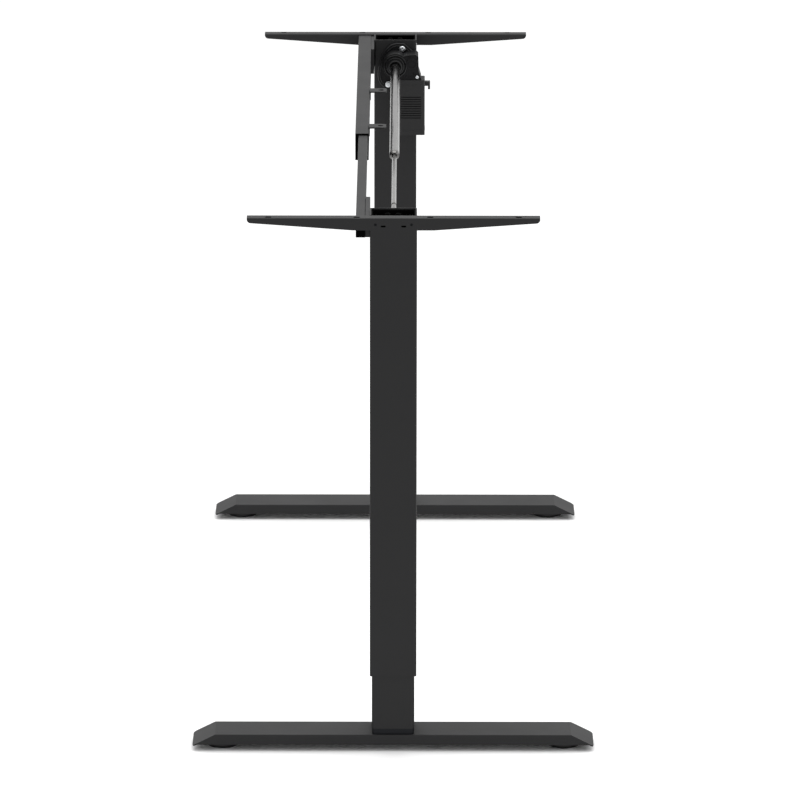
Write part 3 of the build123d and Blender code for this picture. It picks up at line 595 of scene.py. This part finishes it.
def arc(centre_y, centre_z, radius, start, end, x, steps=40):
    points = []
    for i in range(steps + 1):
        angle = math.radians(start + (end - start) * i / steps)
        points.append((x, centre_y + radius * math.cos(angle), centre_z + radius * math.sin(angle)))
    return points


gearbox = bmesh.new()
edges = bmesh.new()
for profile in HUB_RING_PROFILES:
    turned(edges, (HUB_FRONT, 0, SHAFT_Z), (1, 0, 0), profile, sides=96)
lobe_rim = arc(0, SHAFT_Z, 20.3, -100, 130, GEARBOX_FRONT, 48)
LOBE_EDGE = ((-19, 803.8), (-32.8, 805.2), (-37.5, 801.5), (-38.1, 778), (-42.3, 765))
lobe_rim += [(GEARBOX_FRONT, y, z) for y, z in LOBE_EDGE]
swept(gearbox, lobe_rim, 0.6, sides=8, flat_way=(1, 0, 0))
ARCH = [(18, 743), (25.5, 750), (28.6, 760), (28.6, 772), (24.2, 790), (17.7, 804.9),
        (11.1, 811.6), (7, 815), (-1, 817.6), (-14.3, 817.4), (-34.2, 799.5)]
MIDDLE = (-2.0, 786.0)


def drawn_in(points, distance):
    """Move outline points towards the middle by a distance."""
    moved = []
    for y, z in points:
        away = Vector((MIDDLE[0] - y, MIDDLE[1] - z)).normalized() * distance
        moved.append((y + away.x, z + away.y))
    return moved


def rounded_path(points, x, steps=5):
    """A smooth curve through outline points (Catmull-Rom)."""
    padded = [points[0]] + list(points) + [points[-1]]
    path = []
    for a, b, c, d in zip(padded, padded[1:], padded[2:], padded[3:]):
        for i in range(steps):
            t = i / steps
            point = [0.5 * (2 * q + (r - p) * t + (2 * p - 5 * q + 4 * r - s) * t * t
                            + (3 * q - p - 3 * r + s) * t ** 3) for p, q, r, s in zip(a, b, c, d)]
            path.append((x, *point))
    path.append((x, *points[-1]))
    return path


for inset, lift, width in ((0.9, 0.2, 1.1), (4.4, 0.2, 1.0)):
    rim = drawn_in(ARCH, inset)
    swept(edges, rounded_path(rim[:-2], GEARBOX_PLATE - lift), width, sides=8, flat_way=(1, 0, 0))
    swept(edges, [(GEARBOX_PLATE - lift, y, z) for y, z in rim[-3:]], width, sides=8, flat_way=(1, 0, 0))
for y, z, radius, height in ((11.8, 748.2, 6.4, 1.6), (-11.6, 808.8, 6.6, 1.2)):
    profile = [(0, radius), (height - 0.6, radius), (height, radius - 0.6), (height, 5.2), (0, 5.2)]
    turned(gearbox, (GEARBOX_PLATE, y, z), (-1, 0, 0), profile, sides=48)
SMALL_BOSS = [(0, 2.6), (1.2, 2.4), (1.2, 1.3), (0.2, 1.2), (0.2, 0)]
WORM_BOSS = [(0, 9.5), (0.9, 9.3), (1.4, 8.6), (1.4, 6.4), (0.6, 6.0), (0.6, 0)]
turned(gearbox, (GEARBOX_FRONT, -27.0, 790.0), (-1, 0, 0), WORM_BOSS, sides=64)
for y, z in ((-30.5, 772.5), (-24.0, 800.5)):
    turned(gearbox, (GEARBOX_FRONT, y, z), (-1, 0, 0), SMALL_BOSS, sides=32)
RIB_X = GEARBOX_FRONT - 0.1
for step in range(7):
    y = -12.0 - step * 4.2
    swept(gearbox, [(RIB_X, y, 764.2), (RIB_X, y - 1.6, 770.6)], 0.7, flat_way=(1, 0, 0))
finish_piece("gearbox_cast_details", gearbox, "right_frame", painted_casting)
# The rims and rings carry the painted highlight grey.
finish_piece("gearbox_rims_and_rings", edges, "right_frame", rim_highlight_casting)

# Painted shade: two shallow near-black discs on the gearbox face stand for holes.
HOLE_SHADE_DISC = [(-0.2, 0), (-0.2, 1.3), (0.35, 1.3), (0.35, 0.9), (0.1, 0)]
dark_holes = bmesh.new()
for y in (-16.9, 16.9):
    turned(dark_holes, (GEARBOX_FRONT, y, SHAFT_Z + 3.5), (-1, 0, 0), HOLE_SHADE_DISC, sides=24)
finish_piece("gearbox_hole_painted_shade", dark_holes, "right_frame", near_black_plastic_and_painted_shade)
print("gearbox: rings, rims, ribs and bosses")

# %% [markdown]
# ## Motor housing
# The motor hangs below the gearbox in a moulded housing with ten cooling ribs. Housings like
# this are closed by end caps, so a fine seam runs round it near each end, and four small screw
# bosses stand on the lower end. The ribs are in the CAD, and near-black bars in their slots are
# painted shade for the grooves between them.

# %% Motor housing details
MOTOR_X = (590.0, 628.0)
MOTOR_Y = (-48.7, -7.8)
MOTOR_Z = (670.5, 763.0)
RIB_COUNT = 10
RIB_Z = (699.3, 734.3)
MOTOR_CORNER_R = 3.5
GROOVE_Y = (-42.4, -8.9)
GROOVE_HALF = 0.66
GROOVE_DEPTH = (0.5, 1.25)


def bar_between(mesh, low, high, edge):
    """A bar along Y with chamfered long edges on its -X face."""
    (x0, y0, z0), (x1, y1, z1) = low, high
    outline = [(x1, z0), (x0 + edge, z0), (x0, z0 + edge), (x0, z1 - edge), (x0 + edge, z1), (x1, z1)]
    extruded(mesh, outline, (0, y0, 0), (1, 0, 0), (0, 0, 1), (0, y1 - y0, 0))


def rounded_loop(x, y, radius, z, grow=0.0, steps=6):
    """Points round a rectangle with rounded corners, at one height."""
    loop = []
    corners = ((x[1], y[1], 0), (x[0], y[1], 90), (x[0], y[0], 180), (x[1], y[0], 270))
    for cx, cy, start in corners:
        mid_x = cx - radius if cx == x[1] else cx + radius
        mid_y = cy - radius if cy == y[1] else cy + radius
        for i in range(steps + 1):
            angle = math.radians(start + 90 * i / steps)
            reach = radius + grow
            loop.append((mid_x + reach * math.cos(angle), mid_y + reach * math.sin(angle), z))
    return loop


rib_step = (RIB_Z[1] - RIB_Z[0]) / (RIB_COUNT - 1)
# Painted shade: near-black bars in the grooves between the ribs.
groove_painted_shade = bmesh.new()
for step in range(RIB_COUNT):
    z = RIB_Z[0] + rib_step * step
    low = (MOTOR_X[0] + GROOVE_DEPTH[0], GROOVE_Y[0], z - GROOVE_HALF)
    high = (MOTOR_X[0] + GROOVE_DEPTH[1], GROOVE_Y[1], z + GROOVE_HALF)
    bar_between(groove_painted_shade, low, high, 0.1)
finish_piece("motor_groove_floors", groove_painted_shade, "right_frame", near_black_plastic_and_painted_shade)

motor_trim = bmesh.new()
for z, grow, width in ((MOTOR_Z[0] + 8.0, -0.1, 0.45), (MOTOR_Z[1] - 8.5, -0.1, 0.45)):
    swept(motor_trim, rounded_loop(MOTOR_X, MOTOR_Y, MOTOR_CORNER_R, z, grow), width, sides=8, closed=True)
for y in (MOTOR_Y[0] + 6.5, MOTOR_Y[1] - 6.5):
    for x in (MOTOR_X[0] + 6.5, MOTOR_X[1] - 6.5):
        turned(motor_trim, (x, y, MOTOR_Z[0] + 0.4), (0, 0, -1),
               [(0, 3.6), (0.7, 3.4), (1.0, 2.9), (1.0, 1.6), (0.2, 1.5), (0.2, 0)], sides=32)
finish_piece("motor_seams_and_bosses", motor_trim, "right_frame", black_abs)
print("motor housing: seams, grooves, bosses")

# %% [markdown]
# ## Socket screws
# The brackets, the saddles and the width lock use black socket screws. A socket head is a
# turned cylinder with a chamfer, but its hole is a hexagon, so the inner rings are pushed out
# to a hexagon's outline instead of a circle's.


# %% Socket screws
def hexagon_radius(angle, flats):
    """Distance from the middle of a hexagon to its edge, at an angle."""
    turn_in = (angle + math.pi / 6) % (math.pi / 3) - math.pi / 6
    return flats / 2 / math.cos(turn_in)


def socket_head(mesh, seat, way, radius, height, flats, chamfer=0.5, sides=48):
    """Cylinder head with a hexagon socket; seat is under the head and way points out."""
    way, across, up = frame_round(way)
    seat = Vector(seat)
    rings = [(0, radius, False), (height - chamfer, radius, False), (height, radius - chamfer, False),
             (height, flats / 2 + 0.35, True), (height - 0.3, flats / 2, True),
             (height * 0.35, flats / 2, True)]
    loops = []
    for lift, size, is_hex in rings:
        loop = []
        for i in range(sides):
            angle = 2 * math.pi * i / sides
            reach = hexagon_radius(angle, size * 2) if is_hex else size
            outward = (across * math.cos(angle) + up * math.sin(angle)) * reach
            loop.append(mesh.verts.new(seat + way * lift + outward))
        loops.append(loop)
    for low, high in zip(loops, loops[1:]):
        for i in range(sides):
            k = (i + 1) % sides
            mesh.faces.new((low[i], low[k], high[k], high[i]))
    mesh.faces.new(loops[0][::-1])
    mesh.faces.new(loops[-1])


BRACKET_SCREW_Y, BRACKET_SCREW_Z = 26.7, 812.0
OUTER_FACE = 703.5
CLAMP_X = (-86.0, -66.0)
CLAMP_Y = 48.8
BEAM_BOTTOM = 777.8
SADDLE_SCREW_Z = 800.0
SADDLE_WALL = 1.5
SADDLE_SCREW_AT = 18.0
SADDLE_HEAD = (4.1, 0.8, 2.5, 0.25)
SADDLES = {"left": (35.0, 41.7, (-600.0, -565.0)), "right": (35.0, 40.0, (590.0, 610.0))}

for leg, side in (("left", -1), ("right", 1)):
    bracket_set = bmesh.new()
    for y in (-BRACKET_SCREW_Y, BRACKET_SCREW_Y):
        seat = (side * (OUTER_FACE - 2.2), y, BRACKET_SCREW_Z)
        socket_head(bracket_set, seat, (side, 0, 0), 1.95, 1.9, 2.0, 0.25)
        shank(bracket_set, seat, (-side, 0, 0), 7.4, 1.9)
    finish_piece(f"{leg}_bracket_screw_set", bracket_set, f"{leg}_frame",
                 black_oxide, [f"{leg}_bracket_screws"])
    front_y, rear_y, beam_x = SADDLES[leg]
    saddle_set = bmesh.new()
    for x in (-SADDLE_SCREW_AT, SADDLE_SCREW_AT):
        seat = (side * LEG_X + x, front_y + SADDLE_WALL, SADDLE_SCREW_Z)
        socket_head(saddle_set, seat, (0, 1, 0), *SADDLE_HEAD)
        shank(saddle_set, seat, (0, -1, 0), 3.4, 2.4)
    for x in beam_x:
        seat = (x, rear_y - SADDLE_WALL, SADDLE_SCREW_Z)
        socket_head(saddle_set, seat, (0, -1, 0), *SADDLE_HEAD)
        shank(saddle_set, seat, (0, 1, 0), 2.9, 2.4)
    finish_piece(f"{leg}_saddle_screw_set", saddle_set, f"{leg}_frame",
                 black_oxide, [f"{leg}_saddle_screws"])

clamp_set = bmesh.new()
for x in CLAMP_X:
    socket_head(clamp_set, (x, CLAMP_Y, BEAM_BOTTOM), (0, 0, -1), 5.4, 3.0, 4.0)
    shank(clamp_set, (x, CLAMP_Y, BEAM_BOTTOM), (0, 0, 1), 14.0, 2.9)
finish_piece("width_clamp_screw_set", clamp_set, "right_frame",
             black_oxide, ["width_clamp_screws"])
print("socket screws: 4 bracket, 8 saddle, 2 clamp")

# %% [markdown]
# ## Bosses under the column tops
# A black moulded tray closes each column's top. Two round posts stand on it, and their domed
# heads show faintly in that dark pocket. The posts' height is a guess.

# %% Domed posts
COVER_BOSS_X = 660.5
COVER_BOSSES = (8.5, -7.7)
COVER_BOSS_TOP = 818.9
DOME = [(-0.6, 4.25), (0.0, 4.35), (0.5, 4.1), (1.0, 3.3), (1.3, 2.2), (1.4, 1.2), (1.0, 0.9), (0.6, 0)]
for leg, side in (("left", -1), ("right", 1)):
    domes = bmesh.new()
    for y in COVER_BOSSES:
        turned(domes, (side * COVER_BOSS_X, y, COVER_BOSS_TOP), (0, 0, 1), DOME, sides=48)
    finish_piece(f"{leg}_cover_post_domes", domes, f"{leg}_frame", near_black_plastic_and_painted_shade)
print("domed posts: 4")

# %% [markdown]
# ## Slot liners, painted shade
# The desk top's screws pass through four slots in each bracket, and at a low angle the slots
# look black, for they are in shade. A thin near-black oval ring in each slot, called a liner
# here, is painted shade that gives that look. The liners are a guess, and the CAD frame has
# none. Each one is a plain oval ring.

# %% Painted shade rings in the bracket slots
SLOT_X = 697.0
SLOT_Y = (54.5, 185.5)
SLOT_LENGTH = 10.0
SLOT_WIDTH = 7.0
SHADE_RING_WALL = 0.7
SHADE_RING_Z = (819.0, 821.9)


def oval(length, width, steps=10):
    """Points round a slot outline that is long in Y."""
    half_straight = (length - width) / 2
    points = []
    for shift, start in ((half_straight, 0), (-half_straight, 180)):
        for i in range(steps + 1):
            angle = math.radians(start + 180 * i / steps)
            points.append((width / 2 * math.cos(angle), shift + width / 2 * math.sin(angle)))
    return points


def oval_ring(mesh, centre, length, width, wall, z_low, z_high):
    outer, inner = oval(length, width), oval(length - 2 * wall, width - 2 * wall)
    loops = []
    for outline, z in ((outer, z_low), (outer, z_high), (inner, z_high), (inner, z_low)):
        loops.append([mesh.verts.new((centre[0] + u, centre[1] + v, z)) for u, v in outline])
    for low, high in zip(loops, loops[1:] + loops[:1]):
        for i in range(len(low)):
            k = (i + 1) % len(low)
            mesh.faces.new((low[i], low[k], high[k], high[i]))


for leg, side in (("left", -1), ("right", 1)):
    # Painted shade: a near-black ring in each slot.
    shade_rings = bmesh.new()
    for y in (*SLOT_Y, *[-y for y in SLOT_Y]):
        oval_ring(shade_rings, (side * SLOT_X, y), SLOT_LENGTH, SLOT_WIDTH, SHADE_RING_WALL, *SHADE_RING_Z)
    finish_piece(f"{leg}_slot_liners", shade_rings, f"{leg}_frame", near_black_plastic_and_painted_shade)
print("slot liners: 8")

# %% [markdown]
# ## Weld beads
# The tabs are taken to be welded to the beam, and the beads are added detail. A hand-held weld
# leaves a row of overlapping ripples, so each bead is a sweep whose width and height beat slowly
# along it, painted with the rest.

# %% Weld beads on the tabs
random.seed(7)
RIPPLE_MM = 1.6
BEAD_SIDES = 10


def weld_bead(mesh, start, end, radius):
    """A rippled bead between two points."""
    start, end = Vector(start), Vector(end)
    ahead = (end - start).normalized()
    length = (end - start).length
    count = max(6, int(length / RIPPLE_MM * 6))
    _, across, up = frame_round(ahead)
    rings = []
    for i in range(count + 1):
        share = i / count
        fade = min(1.0, 6 * share, 6 * (1 - share)) ** 0.5 if 0 < share < 1 else 0.25
        beat = 1 + 0.13 * math.cos(2 * math.pi * share * length / RIPPLE_MM) + random.uniform(-0.03, 0.03)
        reach = radius * beat * max(fade, 0.25)
        centre = start + ahead * (length * share)
        rings.append(ring_of_points(mesh, centre, across, up, reach, full_turn(BEAD_SIDES)))
    for low, high in zip(rings, rings[1:]):
        for k in range(BEAD_SIDES):
            n = (k + 1) % BEAD_SIDES
            mesh.faces.new((low[k], low[n], high[n], high[k]))
    mesh.faces.new(rings[0][::-1])
    mesh.faces.new(rings[-1])


TAB_X = (227.0, -47.0)
TAB_HALF = 13.5
BEAD_Y = 39.5
BEAD_Z = (808.6, 819.0)
beads = bmesh.new()
for tab_x in TAB_X:
    for side in (-1, 1):
        x = tab_x + side * TAB_HALF
        weld_bead(beads, (x, BEAD_Y, BEAD_Z[0]), (x, BEAD_Y, BEAD_Z[1]), 1.0)
finish_piece("tab_weld_beads", beads, "right_frame", powder_coated_steel)
print("weld beads: 4")

# %% [markdown]
# ## Floor and light
# The frame stands in a plain white studio. A pale floor runs far out so no edge shows, the
# surroundings are an even soft white, and one large lamp overhead gives the soft shadow under
# the feet and lights the tops of the beams. A weak lamp on the user's side lights the ends of
# the feet on that side a little more than the others.

# %% Floor, surroundings and lamps
floor_mesh = bmesh.new()
FLOOR_REACH = 30000.0
FLOOR_STEPS = 12
UNDER_PADS = -0.0002
bmesh.ops.create_grid(floor_mesh, x_segments=FLOOR_STEPS, y_segments=FLOOR_STEPS, size=FLOOR_REACH * MM)
floor_data = bpy.data.meshes.new("studio_floor")
floor_mesh.to_mesh(floor_data)
floor_mesh.free()
floor = bpy.data.objects.new("studio_floor", floor_data)
floor.location.z = UNDER_PADS
bpy.context.scene.collection.objects.link(floor)
floor_paint, tree, shader, place = new_finish("studio_floor_white", {"Roughness": 0.9, "IOR": 1.3})
mottle = add_node(tree, "ShaderNodeTexNoise", {"Scale": 2.0}, {"Vector": place})
pale = tint_between(tree, ("#f7f7f7", "#fbfbfb"), mottle.outputs["Fac"])
tree.links.new(pale.outputs["Color"], shader.inputs["Base Color"])
floor_data.materials.append(floor_paint)
floor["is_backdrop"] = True

world = bpy.data.worlds.new("studio")
bpy.context.scene.world = world
world.use_nodes = True
world.node_tree.nodes.clear()
sky = add_node(world.node_tree, "ShaderNodeBackground", {"Color": (1, 1, 1, 1), "Strength": 1.0})
add_node(world.node_tree, "ShaderNodeOutputWorld", None, {"Surface": sky.outputs["Background"]})


def area_lamp(name, place, target, size, power):
    lamp_data = bpy.data.lights.new(name, "AREA")
    lamp_data.shape = "RECTANGLE"
    lamp_data.size, lamp_data.size_y = size
    lamp_data.energy = power
    lamp = bpy.data.objects.new(name, lamp_data)
    lamp.location = place
    lamp.rotation_mode = "QUATERNION"
    lamp.rotation_quaternion = (Vector(target) - Vector(place)).to_track_quat("-Z", "Y")
    bpy.context.scene.collection.objects.link(lamp)
    return lamp


OVERHEAD_WATTS = 95.0
FRONT_WATTS = 16.0
area_lamp("overhead", (0.2, 0.0, 4.2), (0, 0, 0), (4.0, 3.0), OVERHEAD_WATTS)
area_lamp("front_side", (0.0, -3.6, 2.6), (0, 0, 0.4), (3.0, 1.6), FRONT_WATTS)
bpy.context.scene.view_settings.view_transform = "Standard"
print("studio: floor, surroundings, 2 lamps")

# %% [markdown]
# ## Measure the box and finish
# The box of what shows is measured.

# %% Measure the box and finish
low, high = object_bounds()
